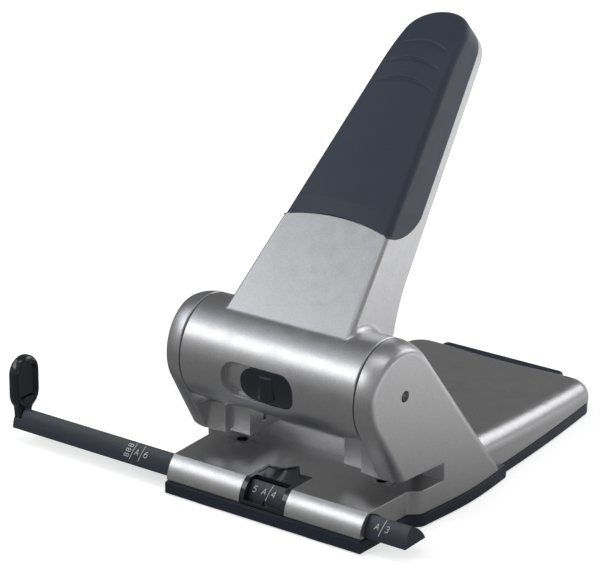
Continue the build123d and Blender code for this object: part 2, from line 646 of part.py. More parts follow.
def punch_pin(side):
    """Hardened pin with a V-ground cutting edge and a flat head for the cam."""
    x = side * HOLE_SPACING / 2
    pin = rod_z(PIN_R, PIN_TIP, HEAD_TOP, x, PIN_Y) + rod_z(4.2, HEAD_TOP - 1.6, HEAD_TOP, x, PIN_Y)
    wedge = Plane(origin=(x, 0, PIN_TIP), x_dir=(1, 0, 0), z_dir=(0, -1, 0)) * polygon(
        (-2.0, -0.1), (2.0, -0.1), (0, 1.2))
    return pin - extrude(wedge, amount=-30)


def pin_collar(side):
    x = side * HOLE_SPACING / 2
    collar = rod_z(5.0, COLLAR_Z, HEAD_TOP - 1.6, x, PIN_Y)
    return collar - rod_z(PIN_R, 0, 90, x, PIN_Y)


def return_spring(side):
    x = side * HOLE_SPACING / 2
    low, high = JAW_TOP + 1 + SPRING_WIRE, COLLAR_Z - SPRING_WIRE
    turns = 5
    path = Helix((high - low) / turns, high - low, SPRING_R)
    profile = Plane(origin=path @ 0, z_dir=path % 0) * Circle(SPRING_WIRE)
    return Pos(x, PIN_Y, low) * sweep(profile, path=path, is_frenet=True)


# ---- lock -----------------------------------------------------------------------------
def lock_knob():
    x = RECESS_X + RECESS_HALF_X - KNOB_HALF_X - 0.35
    outline = lock_recess(KNOB_HALF_X, RECESS_HALF_Z - 0.5, x)
    knob = outline & tube(BARREL_R - 0.3, RECESS_FLOOR_R + 0.25, -60, 60)
    rib_face = polygon((x - 5.4, -23.4), (x - 1.6, -26.3), (x + 2.0, -26.3), (x + 3.6, -23.4))
    rib = plan_prism(rib_face, PIVOT_Z - 8.6, PIVOT_Z + 2.6)
    return knob + rib


def lock_bolt():
    y, z = polar(BOLT_RADIUS, BOLT_ANGLE)
    rod = rod_x(BOLT_R, -46.2, 4.0, y, z)
    inner_face = -(RECESS_FLOOR_R + 0.25) * cos(radians(BOLT_ANGLE - 180))
    link = block(-3.0, 6.0, inner_face - 0.1, y, z - 2.2, z + 2.2)
    return (rod + link) - tube(40, RECESS_FLOOR_R + 0.25, -60, 60)


# ---- paper guide ----------------------------------------------------------------------
def paper_stop():
    """Upright paddle on the rail's left end, dished on both faces."""
    width, low, high = 17.8, 15.4, 43.2
    y, thick = -15.2, 6.0
    r = width / 2 - 0.4
    face = Pos(y, (low + high) / 2) * Rectangle(width, high - low)
    face = fillet(face.vertices(), r)
    neck = polygon((y - 7.8, 22), (y + 7.8, 22), (y + 5.4, 15.6), (y + 2.2, 11.6), (y - 5.8, 11.6),
                   (y - 6.8, 15.6))
    plate = Plane.YZ.offset(STOP_FACE_X - thick) * (face + neck)
    body = extrude(plate, amount=thick)
    dish_face = Pos(y, (low + high) / 2) * Rectangle(width - 4.6, high - low - 4.6)
    dish_face = fillet(dish_face.vertices(), r - 2.3)
    for x0 in (STOP_FACE_X - 1.2, STOP_FACE_X - thick - 0.1):
        body -= extrude(Plane.YZ.offset(x0) * dish_face, amount=1.3)
    return body


def guide_rail(stop):
    rail = side_prism(rail_section(), RAIL_LEFT, RAIL_RIGHT)
    return rail - stop


def rail_detent_spring():
    """Leaf spring under the rail that holds it at each paper size."""
    z = RIM_BOTTOM + 2.4
    profile = closed(
        Line((-30, z), (30, z)), Line((30, z), (30, z + 0.5)),
        Line((30, z + 0.5), (8, z + 0.5)), ThreePointArc((8, z + 0.5), (0, RAIL_Z - 0.5), (-8, z + 0.5)),
        Line((-8, z + 0.5), (-30, z + 0.5)), Line((-30, z + 0.5), (-30, z)))
    leaf = extrude(Plane(origin=(0, -12, 0), x_dir=(1, 0, 0), z_dir=(0, -1, 0)) * profile, amount=5)
    inner = extrude(Plane(origin=(0, -11, 0), x_dir=(1, 0, 0), z_dir=(0, -1, 0)) * closed(
        ThreePointArc((7.4, z), (0, RAIL_Z - 1.0), (-7.4, z)), Line((-7.4, z), (7.4, z))), amount=8)
    return leaf - inner


# ---- build and export -----------------------------------------------------------------
def build():
    nodes = {}
    rough = rough_casting()
    nodes["base_casting"] = base_casting(rough)
    nodes["window_frame"] = window_frame(rough)
    nodes["base_frame"] = base_frame()
    nodes["rubber_pad_front"] = rubber_pad(FRONT_PAD, TOE_PAD)
    nodes["rubber_pad_rear"] = rubber_pad(REAR_PAD)
    nodes["base_screws"] = base_screws()
    nodes["chip_drawer"] = chip_drawer()
    nodes["pivot_axle"] = pivot_axle()
    cams = {name: drive_cam(side) for name, side in SIDES}
    nodes["lever_casting"] = lever_casting(cams.values())
    nodes["grip_cover"] = grip_cover()
    nodes["handle_back_cover"] = handle_back_cover()
    nodes["lock_knob"] = lock_knob()
    nodes["lock_bolt"] = lock_bolt()
    for name, side in SIDES:
        nodes[f"drive_cam_{name}"] = cams[name]
        nodes[f"bearing_bush_{name}"] = bearing_bush(side)
        nodes[f"die_insert_{name}"] = die_insert(side)
        nodes[f"punch_guide_sleeve_{name}"] = punch_guide_sleeve(side)
        nodes[f"punch_pin_{name}"] = punch_pin(side)
        nodes[f"pin_collar_{name}"] = pin_collar(side)
        nodes[f"return_spring_{name}"] = return_spring(side)
    stop = paper_stop()
    nodes["paper_stop"] = stop
    nodes["guide_rail"] = guide_rail(stop)
    nodes["rail_detent_spring"] = rail_detent_spring()
    return nodes


os.makedirs("parts", exist_ok=True)
for node, shape in build().items():
    export_step(shape, f"parts/{node}.step")
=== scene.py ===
import json
import math

import bpy
import numpy as np
from bpy.props import FloatProperty, FloatVectorProperty, PointerProperty
from mathutils import Matrix, Vector


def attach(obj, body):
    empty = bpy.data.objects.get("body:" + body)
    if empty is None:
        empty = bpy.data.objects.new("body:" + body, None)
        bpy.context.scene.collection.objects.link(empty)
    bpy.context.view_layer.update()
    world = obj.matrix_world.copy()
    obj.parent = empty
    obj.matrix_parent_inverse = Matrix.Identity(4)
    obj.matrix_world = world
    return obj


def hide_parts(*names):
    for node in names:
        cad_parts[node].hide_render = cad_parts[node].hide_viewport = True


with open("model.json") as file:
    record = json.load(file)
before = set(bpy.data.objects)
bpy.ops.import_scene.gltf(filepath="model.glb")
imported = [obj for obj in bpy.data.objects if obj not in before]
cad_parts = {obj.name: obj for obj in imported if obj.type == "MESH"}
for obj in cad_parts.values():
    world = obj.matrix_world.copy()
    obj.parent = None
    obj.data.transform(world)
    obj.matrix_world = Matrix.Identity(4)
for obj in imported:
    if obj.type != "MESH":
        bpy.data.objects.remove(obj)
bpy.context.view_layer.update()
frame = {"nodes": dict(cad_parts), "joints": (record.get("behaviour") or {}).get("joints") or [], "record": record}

bl_info = {
    "name": "Hole Punch Finish",
    "version": (1, 0, 0),
    "blender": (4, 5, 0),
    "location": "3D View > Sidebar > Punch",
    "description": "Finishes, soft grip, paper stop, guide marks and studio for a desk hole punch",
    "category": "Object",
}

MM = 0.001

# ---- the lever's own directions: up its front face and out of it -------------------------
PIVOT_Z = frame["joints"][0]["pos_m"][2]
LEVER_INCLINE = math.radians(44.3)
FACE_UP = np.array([0.0, math.cos(LEVER_INCLINE), math.sin(LEVER_INCLINE)])
FACE_OUT = np.array([0.0, -math.sin(LEVER_INCLINE), math.cos(LEVER_INCLINE)])
FACE_OFFSET = 22.4 * MM
FACE_FOOT = np.array([0.0, 0.0, PIVOT_Z]) + FACE_OUT * FACE_OFFSET


# ---- sizes and colours ------------------------------------------------------------------
def length(name, description, default):
    """Property for a length, in metres."""
    return FloatProperty(name=name, description=description, default=default, min=0.0,
                         subtype="DISTANCE", unit="LENGTH")


def colour(name, description, default):
    """Property for a linear colour."""
    return FloatVectorProperty(name=name, description=description, default=default, size=3,
                               min=0.0, max=1.0, subtype="COLOR")


class PunchSizes(bpy.types.PropertyGroup):
    grip_corner: length("Grip corner", "Rounding of the grip's long edges", 3.6 * MM)
    grip_crown: length("Grip crown", "Rise of the grip's face over its edges", 1.5 * MM)
    groove_depth: length("Groove depth", "Depth of the finger grooves", 0.8 * MM)
    paddle_round: length("Paddle rounding", "Rounding of the paper stop's rim", 2.4 * MM)
    paddle_dish: length("Paddle dish", "Depth of the paper stop's hollow", 1.4 * MM)
    mark_height: length("Mark height", "Height of the digits on the paper guide", 2.9 * MM)
    mark_stroke: length("Mark stroke", "Line width of the printed marks", 0.32 * MM)


class PunchColours(bpy.types.PropertyGroup):
    silver: colour("Silver", "Metallic paint of both castings", (0.58, 0.58, 0.59))
    grip: colour("Grip", "Soft cover of the handle", (0.049, 0.061, 0.088))
    frame: colour("Frame", "Dark base frame and drawer", (0.020, 0.027, 0.046))
    rail: colour("Rail", "Paper guide", (0.048, 0.057, 0.075))
    gloss: colour("Gloss", "Knob, paper stop and window insert", (0.014, 0.017, 0.023))
    steel: colour("Steel", "Pins, cams, axle and screws", (0.56, 0.56, 0.55))
    bronze: colour("Bronze", "Bushes of the axle", (0.60, 0.41, 0.20))
    rubber: colour("Rubber", "Pads under the base", (0.018, 0.018, 0.019))
    marks: colour("Marks", "Printing on the paper guide", (0.80, 0.81, 0.82))
    floor: colour("Floor", "Table top of the studio", (0.90, 0.90, 0.90))


class PunchStudio(bpy.types.PropertyGroup):
    azimuth: FloatProperty(name="Azimuth", description="Camera's turn to the right",
                           default=math.radians(35.55), subtype="ANGLE")
    elevation: FloatProperty(name="Elevation", description="Camera's height angle",
                             default=math.radians(20.13), subtype="ANGLE")
    roll: FloatProperty(name="Roll", description="Camera's tilt", default=math.radians(0.55),
                        subtype="ANGLE")
    distance: length("Distance", "Camera to the aiming plane", 1.2771)
    focal: FloatProperty(name="Focal length", description="Lens, in millimetres",
                         default=165.17, min=10.0)
    key: FloatProperty(name="Key light", description="Power of the front softbox", default=5.0,
                       min=0.0, unit="POWER")
    floor_radius: length("Floor", "Radius of the floor", 6.0)


# ---- node helpers -----------------------------------------------------------------------
def new_group(name, inputs, outputs):
    """Shader node group with named sockets; returns it with its input and output nodes."""
    group = bpy.data.node_groups.new(name, "ShaderNodeTree")
    for label, kind, value in inputs:
        socket = group.interface.new_socket(name=label, in_out="INPUT", socket_type=kind)
        if value is not None:
            socket.default_value = value
    for label, kind in outputs:
        group.interface.new_socket(name=label, in_out="OUTPUT", socket_type=kind)
    return group, group.nodes.new("NodeGroupInput"), group.nodes.new("NodeGroupOutput")


def maths(tree, operation, a, b):
    """Math node; each operand is a number or a socket."""
    node = tree.nodes.new("ShaderNodeMath")
    node.operation = operation
    for socket, value in zip(node.inputs, (a, b)):
        if isinstance(value, bpy.types.NodeSocket):
            tree.links.new(value, socket)
        else:
            socket.default_value = value
    return node.outputs[0]


def noise(tree, vector, scale, detail=2.0, roughness=0.5):
    """Noise Texture node; each setting is a number or a socket."""
    node = tree.nodes.new("ShaderNodeTexNoise")
    tree.links.new(vector, node.inputs["Vector"])
    for label, value in (("Scale", scale), ("Detail", detail), ("Roughness", roughness)):
        if isinstance(value, bpy.types.NodeSocket):
            tree.links.new(value, node.inputs[label])
        else:
            node.inputs[label].default_value = value
    return node.outputs["Fac"]


def spread(tree, value, low, high, out_low, out_high):
    """Map Range node, clamped: low to high becomes out_low to out_high."""
    node = tree.nodes.new("ShaderNodeMapRange")
    tree.links.new(value, node.inputs["Value"])
    for label, number in (("From Min", low), ("From Max", high), ("To Min", out_low),
                          ("To Max", out_high)):
        node.inputs[label].default_value = number
    return node.outputs[0]


def mix_colour(tree, factor, a, b):
    """Mix node from colour a to colour b as the factor, a socket, goes from 0 to 1."""
    node = tree.nodes.new("ShaderNodeMix")
    node.data_type = "RGBA"
    tree.links.new(factor, node.inputs[0])
    for socket, value in ((node.inputs[6], a), (node.inputs[7], b)):
        socket.default_value = (*value[:3], 1.0)
    return node.outputs[2]


def build_grain():
    """Moulded or sprayed grain: fine noise over a slow unevenness. Height is their weighted
    sum, Fleck a random value for each cell of flake, and Mask the slow noise alone."""
    group, source, sink = new_group(
        "Punch grain",
        [("Vector", "NodeSocketVector", None), ("Size", "NodeSocketFloat", 0.4),
         ("Fine", "NodeSocketFloat", 1.0), ("Slow", "NodeSocketFloat", 0.3)],
        [("Height", "NodeSocketFloat"), ("Fleck", "NodeSocketFloat"), ("Mask", "NodeSocketFloat")])
    scale = maths(group, "DIVIDE", 1000.0, source.outputs["Size"])
    fine = noise(group, source.outputs["Vector"], scale, 2.0, 0.6)
    slow = noise(group, source.outputs["Vector"], maths(group, "MULTIPLY", scale, 0.06), 3.0, 0.5)
    height = maths(group, "ADD", maths(group, "MULTIPLY", fine, source.outputs["Fine"]),
                   maths(group, "MULTIPLY", slow, source.outputs["Slow"]))
    cells = group.nodes.new("ShaderNodeTexVoronoi")
    group.links.new(source.outputs["Vector"], cells.inputs["Vector"])
    group.links.new(maths(group, "MULTIPLY", scale, 0.8), cells.inputs["Scale"])
    separate = group.nodes.new("ShaderNodeSeparateColor")
    group.links.new(cells.outputs["Color"], separate.inputs[0])
    group.links.new(height, sink.inputs["Height"])
    group.links.new(separate.outputs[0], sink.inputs["Fleck"])
    group.links.new(slow, sink.inputs["Mask"])
    return group


def finish_material(name, base, metallic, rough, grain, fleck=0.0, bump=0.1, size=0.4,
                    fine=1.0, slow=0.3, coat=0.0, coat_rough=0.1, sheen=0.0, specular=0.5,
                    soft_edge=0.0, brushed=None):
    """One procedural finish: flecked colour, roughness that varies slowly, and a grain bump.

    Grain size and soft_edge, the radius of softened edges, are in millimetres. Brushed is the
    stretch of the pattern along each axis; a small number draws it out.
    """
    material = bpy.data.materials.new(name)
    material.use_nodes = True
    tree = material.node_tree
    shader = tree.nodes["Principled BSDF"]
    coords = tree.nodes.new("ShaderNodeTexCoord")
    vector = coords.outputs["Object"]
    if brushed is not None:
        mapping = tree.nodes.new("ShaderNodeMapping")
        tree.links.new(vector, mapping.inputs["Vector"])
        mapping.inputs["Scale"].default_value = brushed
        vector = mapping.outputs[0]
    node = tree.nodes.new("ShaderNodeGroup")
    node.node_tree = grain
    tree.links.new(vector, node.inputs["Vector"])
    for label, value in (("Size", size), ("Fine", fine), ("Slow", slow)):
        node.inputs[label].default_value = value
    dark = [c * (1.0 - fleck) for c in base]
    light = [min(1.0, c * (1.0 + fleck)) for c in base]
    tree.links.new(mix_colour(tree, node.outputs["Fleck"], dark, light),
                   shader.inputs["Base Color"])
    tree.links.new(spread(tree, node.outputs["Mask"], 0.3, 0.7, rough[0], rough[1]),
                   shader.inputs["Roughness"])
    bumps = tree.nodes.new("ShaderNodeBump")
    bumps.inputs["Strength"].default_value = bump
    bumps.inputs["Distance"].default_value = size * MM * 0.5
    tree.links.new(node.outputs["Height"], bumps.inputs["Height"])
    if soft_edge:
        edge = tree.nodes.new("ShaderNodeBevel")
        edge.samples = 4
        edge.inputs["Radius"].default_value = soft_edge * MM
        tree.links.new(edge.outputs[0], bumps.inputs["Normal"])
    tree.links.new(bumps.outputs[0], shader.inputs["Normal"])
    shader.inputs["Metallic"].default_value = metallic
    shader.inputs["Specular IOR Level"].default_value = specular
    shader.inputs["Coat Weight"].default_value = coat
    shader.inputs["Coat Roughness"].default_value = coat_rough
    shader.inputs["Sheen Weight"].default_value = sheen
    return material


def colours():
    return bpy.context.scene.punch_colours


def sizes():
    return bpy.context.scene.punch_sizes


def dress(node, material):
    """Give a CAD node a material through its object's slots."""
    for place in frame["nodes"][node].material_slots:
        place.material = material


FINISHES = {}
FINISH_OF_SLOT = {"silver_paint": "silver", "grip_plastic": "grip", "frame_plastic": "frame",
                  "rail_plastic": "rail", "gloss_plastic": "gloss", "steel": "steel",
                  "spring_steel": "steel", "bronze": "bronze", "rubber": "rubber"}


def build_finishes():
    """Fill FINISHES with every material of the object."""
    tint = colours()
    grain = build_grain()

    def make(key, name, *args, **options):
        FINISHES[key] = finish_material(name, *args, grain=grain, **options)

    make("silver", "Silver paint", tint.silver, 0.95, (0.33, 0.40), fleck=0.07, bump=0.02,
         size=0.35, slow=0.0, soft_edge=0.5)
    make("grip", "Soft grip", tint.grip, 0.0, (0.40, 0.47), fleck=0.05, bump=0.10, size=0.35,
         sheen=0.03, specular=0.24)
    make("frame", "Frame plastic", tint.frame, 0.0, (0.34, 0.46), fleck=0.05, bump=0.12,
         size=0.5, soft_edge=0.3)
    make("rail", "Rail plastic", tint.rail, 0.0, (0.36, 0.44), fleck=0.10, bump=0.10, size=0.3,
         specular=0.4, brushed=(0.08, 1.0, 1.0))
    make("gloss", "Gloss plastic", tint.gloss, 0.0, (0.12, 0.20), fleck=0.02, bump=0.03,
         size=0.8, coat=0.4, coat_rough=0.06, soft_edge=0.3)
    make("steel", "Ground steel", tint.steel, 1.0, (0.20, 0.32), fleck=0.06, bump=0.12,
         size=0.25, brushed=(1.0, 1.0, 0.08))
    make("bronze", "Sintered bronze", tint.bronze, 1.0, (0.34, 0.46), fleck=0.15, bump=0.2,
         size=0.3)
    make("rubber", "Pad rubber", tint.rubber, 0.0, (0.62, 0.78), fleck=0.08, bump=0.25, size=0.6)
    make("marks", "Printed marks", tint.marks, 0.0, (0.45, 0.55), fleck=0.04, bump=0.05, size=0.2)


# ---- mesh helpers -----------------------------------------------------------------------
def mesh_object(name, points, faces, material, smooth=True):
    """Mesh object from an (N, 3) array of points in metres and a list of face indices."""
    mesh = bpy.data.meshes.new(name)
    mesh.from_pydata(points.tolist(), [], faces)
    mesh.update()
    if smooth:
        mesh.shade_smooth()
    mesh.materials.append(material)
    piece = bpy.data.objects.new(name, mesh)
    bpy.context.collection.objects.link(piece)
    return piece


def grid_faces(rows, columns, close_rows=False, flip=False):
    """Quads of a rows x columns grid; closed rows join the last row to the first."""
    r = np.arange(rows if close_rows else rows - 1)
    a, b = np.meshgrid(r, np.arange(columns - 1), indexing="ij")
    a2, b2 = (a + 1) % rows, b + 1
    quads = np.stack([a * columns + b, a * columns + b2, a2 * columns + b2, a2 * columns + b], -1)
    quads = quads.reshape(-1, 4)
    return (quads[:, ::-1] if flip else quads).tolist()


# ---- soft grip --------------------------------------------------------------------------
# millimetres; places along the handle are counted from the point of its face at the pivot
HANDLE_W0, HANDLE_TAPER, HANDLE_TIP = 36.1, 0.111, 186.5
BEND_START, BEND_RATE = 150.0, 0.005        # the face falls back towards the tip
GRIP_FOOT, FOOT_BOW, FOOT_REACH = 63.1, 4.2, 70.0
WALL_START, WALL_MIDDLE, WALL_DEEP = (62.8, -0.5), (72.2, -14.6), (86.0, -21.8)
WALL_SLOPE, WALL_LEAST = 0.036, 0.6
GRIP_WALL = 2.1
STRAIGHT_FROM, STRAIGHT_BY = 100.0, 150.0   # where the rows' bend at the foot dies out
GROOVE_ZONE, GROOVE_BOW = 132.0, 4.2
GROOVES = ((139.0, 16.8), (150.0, 15.4), (160.8, 14.0))     # place and half length
GROOVE_SOFT, GROOVE_STEEP = 1.2, 0.45


def circle_through(p, q, r):
    """Centre and radius of the circle through three points of a plane."""
    p, q, r = (np.array(v, float) for v in (p, q, r))
    system = 2 * np.array([q - p, r - p])
    centre = np.linalg.solve(system, [q @ q - p @ p, r @ r - p @ p])
    return centre, float(np.linalg.norm(centre - p))


def to_lever(x, along, out):
    """Handle coordinates in millimetres (across, along, out of the face) to the row frame."""
    x, along, out = np.broadcast_arrays(x, along, out)
    return (FACE_FOOT + np.stack([x, np.zeros_like(x), np.zeros_like(x)], -1) * MM
            + along[..., None] * FACE_UP * MM + out[..., None] * FACE_OUT * MM)


def grip_outline():
    """Outline of the handle from the right foot round the tip to the left foot: two straight
    tapering sides and the arc that both touch. Gives across, along, the outward normal and the
    arc's centre."""
    lean = math.sqrt(1 + HANDLE_TAPER ** 2)
    centre = (HANDLE_TIP * lean - HANDLE_W0) / (lean - HANDLE_TAPER)
    radius = HANDLE_TIP - centre
    touch = centre + radius * HANDLE_TAPER / lean
    side = GRIP_FOOT + (GROOVE_ZONE - GRIP_FOOT) * np.linspace(0, 1, 60, endpoint=False) ** 1.25
    side = np.concatenate([side, np.linspace(GROOVE_ZONE, touch, 108)])
    half_turn = math.atan(HANDLE_TAPER)
    turn = np.linspace(half_turn, math.pi - half_turn, 62)[1:-1]
    width = HANDLE_W0 - HANDLE_TAPER * side
    x = np.concatenate([width, radius * np.cos(turn), -width[::-1]])
    along = np.concatenate([side, centre + radius * np.sin(turn), side[::-1]])
    ones = np.ones_like(side)
    nx = np.concatenate([ones / lean, np.cos(turn), -ones / lean])
    ns = np.concatenate([ones * HANDLE_TAPER / lean, np.sin(turn), ones * HANDLE_TAPER / lean])
    return x, along, nx, ns, centre


def grip_skin(inset, corner, crown, groove):
    """One skin of the grip, moved in by inset.

    Rows follow the outline. Along a row the points run from the middle line to the outline
    as a share rho of the way, then round a circular corner, then straight down the wall. At
    the foot a row bends as rho squared, so that its end is the arc of the casting's edge. The
    face rises by a cosine crown and bends back as the square of the distance past BEND_START.
    A groove is a bow with a steep side towards the tip and a soft side towards the foot.
    """
    x0, s0, nx, ns, centre = grip_outline()
    mid, wall_r = circle_through(WALL_START, WALL_MIDDLE, WALL_DEEP)
    wall_end, wall_depth = WALL_DEEP[0], -WALL_DEEP[1]
    rise = np.sqrt(np.clip(wall_r ** 2 - (s0 - mid[0]) ** 2, 0, None))
    depth = np.where(s0 < wall_end, rise - mid[1], wall_depth - WALL_SLOPE * (s0 - wall_end))
    depth = np.clip(depth, WALL_LEAST, None) - inset
    r = np.minimum(max(corner - inset, 0.6), np.maximum(depth, 0.05) * 0.9)[:, None]
    lift = FOOT_BOW * np.clip(1 - (s0 - s0.min()) / FOOT_REACH, 0, 1) ** 2
    spine = np.minimum(s0, centre)[:, None] + lift[:, None]
    rho = np.linspace(0, 1, 44)[None, :]
    rim_x = (x0 - nx * inset)[:, None] - nx[:, None] * r
    rim_s = (s0 - ns * inset)[:, None] - ns[:, None] * r
    blend = np.clip((s0 - STRAIGHT_FROM) / (STRAIGHT_BY - STRAIGHT_FROM), 0, 1)[:, None]
    share = rho ** 2 * (1 - blend) + rho * blend
    face_x, face_s = rim_x * rho, spine + (rim_s - spine) * share
    turn = np.linspace(0, math.pi / 2, 12)[None, 1:]
    corner_x = rim_x + nx[:, None] * r * np.sin(turn)
    corner_s = rim_s + ns[:, None] * r * np.sin(turn)
    down = np.linspace(0, 1, 20)[None, 1:]
    wall_x, wall_s = np.broadcast_arrays(rim_x + nx[:, None] * r, rim_s + ns[:, None] * r)
    wall_out = -r - (np.maximum(depth[:, None], r + 0.01) - r) * down
    x = np.concatenate([face_x, corner_x, wall_x + 0 * down], 1)
    along = np.concatenate([face_s, corner_s, wall_s + 0 * down], 1)
    out = np.concatenate([0 * face_x, -r * (1 - np.cos(turn)), wall_out], 1)
    fade = np.clip(1 + out / (0.8 * wall_depth), 0, 1)
    half = np.maximum(HANDLE_W0 - HANDLE_TAPER * along, 8.0)
    foot_fade = np.clip((along - s0.min()) / 12.0, 0, 1)
    tip_fade = np.clip((HANDLE_TIP - along) / 26.0, 0, 1)
    hump = crown * foot_fade * tip_fade * np.cos(np.clip(x / half, -1, 1) * math.pi / 2)
    bend = BEND_RATE * np.clip(along - BEND_START, 0, None) ** 2
    out = out + (hump - bend - inset) * fade
    if inset == 0:
        for place, reach in GROOVES:
            side = along - place - GROOVE_BOW * (1 - (x / reach) ** 2)
            shape = np.exp(-(side / np.where(side < 0, GROOVE_SOFT, GROOVE_STEEP)) ** 2)
            ends = np.clip(1 - (x / reach) ** 2, 0, 1) ** 0.8
            out = out - groove * shape * ends * fade
    return to_lever(x, along, out)


def build_grip():
    """Outer and inner skin of the grip, joined along the wall's edge and closed at the foot."""
    s = sizes()
    options = [value / MM for value in (s.grip_corner, s.grip_crown, s.groove_depth)]
    outer, inner = grip_skin(0.0, *options), grip_skin(GRIP_WALL, *options)
    rows, columns = outer.shape[:2]
    points = np.concatenate([outer, inner[:, ::-1]], 1).reshape(-1, 3)
    total = 2 * columns
    quads = grid_faces(rows, total, flip=True)
    c = np.arange(columns - 1)
    cap = np.stack([c, c + 1, total - 2 - c, total - 1 - c], -1)
    quads += cap[:, ::-1].tolist()
    quads += (cap + (rows - 1) * total).tolist()
    return points, quads


# ---- paper stop -------------------------------------------------------------------------
def stadium(t, radius, half_straight):
    """Point of an upright stadium's outline: a circle whose upper half is moved up and whose
    lower half is moved down by half_straight."""
    y, z = radius * np.cos(t), radius * np.sin(t)
    return y, z + np.where(np.sin(t) >= 0, half_straight, -half_straight)


def superellipse(share):
    """Sine or cosine with its size raised to STEM_POWER and its sign kept."""
    return np.sign(share) * np.abs(share) ** STEM_POWER


PADDLE_X, PADDLE_THICK = -148.5, 6.0         # face towards the paper, and thickness
PADDLE_Y, PADDLE_LOW, PADDLE_HIGH, PADDLE_WIDTH = -15.2, 15.4, 43.2, 17.8
DISH_FALL = 2.6                              # width over which the rim falls into the hollow
STEM_LOW, STEM_RISE, STEM_LEAN = 11.6, 10.6, 1.8
STEM_HALF_WIDTH, STEM_FLARE = 4.0, 3.6
STEM_HALF_THICK, STEM_GROWTH = 2.75, 0.15
STEM_POWER = 0.6                             # superellipse: 1 is an ellipse, 0 a rectangle


def build_paddle():
    """Paper stop: a stadium paddle with a hollow in both faces, on a tapering stem.

    The paddle is a closed grid of angle round the outline by distance in from the edge. Going
    in, a face rises as a quarter circle, runs along the rim and falls smoothly into the
    hollow. The stem is a stack of superellipses that narrow downwards.
    """
    s = sizes()
    edge, dish = s.paddle_round / MM, s.paddle_dish / MM
    radius = PADDLE_WIDTH / 2
    half_straight = (PADDLE_HIGH - PADDLE_LOW) / 2 - radius
    angle = np.linspace(0, 2 * math.pi, 96, endpoint=False) + math.pi / 96
    inward = np.concatenate([edge * (1 - np.cos(np.linspace(0, math.pi / 2, 10))),
                             np.linspace(edge, radius - 0.02, 26)[1:]])
    height = PADDLE_THICK / 2 - edge + np.sqrt(
        np.clip(edge ** 2 - np.clip(edge - inward, 0, None) ** 2, 0, None))
    fall = np.clip((inward - edge * 0.85) / DISH_FALL, 0, 1)
    height = height - dish * fall * fall * (3 - 2 * fall)
    inward = np.concatenate([inward[::-1], inward])
    height = np.concatenate([-height[::-1], height])
    y, z = stadium(angle[:, None], radius - inward[None, :], half_straight)
    x = np.broadcast_to(height[None, :], y.shape)
    middle = np.array([PADDLE_X - PADDLE_THICK / 2, PADDLE_Y, (PADDLE_LOW + PADDLE_HIGH) / 2])
    paddle = (np.stack([x, y, z], -1) + middle) * MM
    faces = grid_faces(*y.shape, close_rows=True)
    level = np.linspace(0, 1, 16)[None, :]
    half_width = STEM_HALF_WIDTH + STEM_FLARE * level ** 1.4
    half_thick = STEM_HALF_THICK + STEM_GROWTH * level
    ring_x = superellipse(np.cos(angle))[:, None] * half_thick
    ring_y = superellipse(np.sin(angle))[:, None] * half_width
    ring_z = np.broadcast_to(STEM_LOW + STEM_RISE * level, ring_x.shape)
    lean = STEM_LEAN * (1 - level)
    stem = np.stack([ring_x + middle[0], ring_y + PADDLE_Y - lean, ring_z], -1) * MM
    start = paddle.reshape(-1, 3).shape[0]
    stem_faces = [[start + i for i in face]
                  for face in grid_faces(*ring_x.shape, close_rows=True)]
    columns = ring_x.shape[1]
    bottom = [start + row * columns for row in range(len(angle))]
    top = [start + row * columns + columns - 1 for row in range(len(angle))]
    points = np.concatenate([paddle.reshape(-1, 3), stem.reshape(-1, 3)])
    return points, faces + stem_faces + [bottom[::-1], top]


# ---- guide marks ------------------------------------------------------------------------
def arc_line(centre, radius, start, end, count=14):
    """Points of an arc, angles in degrees."""
    turn = np.radians(np.linspace(start, end, count))
    return np.stack([centre[0] + radius * np.cos(turn), centre[1] + radius * np.sin(turn)], -1)


def glyph(character):
    """Strokes of a plain character in a box 0.7 wide and 1 high; a bar is taller."""
    if character == "A":
        return [np.array([[0, 0], [0.35, 1], [0.7, 0]]), np.array([[0.13, 0.36], [0.57, 0.36]])]
    if character == "4":
        return [np.array([[0.52, 0], [0.52, 1], [0.0, 0.3], [0.7, 0.3]])]
    if character == "6":
        return [np.concatenate([arc_line((0.62, 0.36), 0.62, 100, 180),
                                arc_line((0.35, 0.31), 0.31, 180, 530, 24)])]
    if character == "3":
        return [np.concatenate([arc_line((0.33, 0.74), 0.26, 150, -80),
                                arc_line((0.33, 0.28), 0.28, 80, -150)])]
    if character == "5":
        return [np.concatenate([[[0.62, 1.0], [0.14, 1.0], [0.1, 0.56]],
                                arc_line((0.33, 0.32), 0.32, 125, -140, 18)])]
    if character == "8":
        return [arc_line((0.35, 0.75), 0.25, -90, 270, 22),
                arc_line((0.35, 0.26), 0.26, 90, 450, 22)]
    return [np.array([[0.35, -0.9], [0.35, 1.9]])]      # the bar


MARKS = (("A|4", 0.6), ("A|6", -74.0), ("A|5", -43.5), ("A|3", 63.0), ("5", -7.4))
GLYPH_WIDTH, MARK_ADVANCE = 0.7, 0.92        # shares of the digits' height
MARK_LINE, MARK_SLANT, MARK_LIFT = 5.1, 0.27, 0.05
STACK_PLACE, STACK_PITCH, STACK_SHARE = -80.4, 2.5, 0.95
STACK_RISE, STACK_BAR = 0.45, 0.25
# three points of the rail's rounded front, as (Y, Z)
RAIL_TOP, RAIL_MIDDLE, RAIL_FOOT = (-18.4, 17.1), (-21.3, 12.6), (-22.6, 7.3)


def densify(corners, per_span=9):
    """The same line with evenly spaced points added along every span."""
    place = np.arange(len(corners))
    fine = np.linspace(0, len(corners) - 1, (len(corners) - 1) * per_span + 1)
    return np.stack([np.interp(fine, place, corners[:, axis]) for axis in (0, 1)], -1)


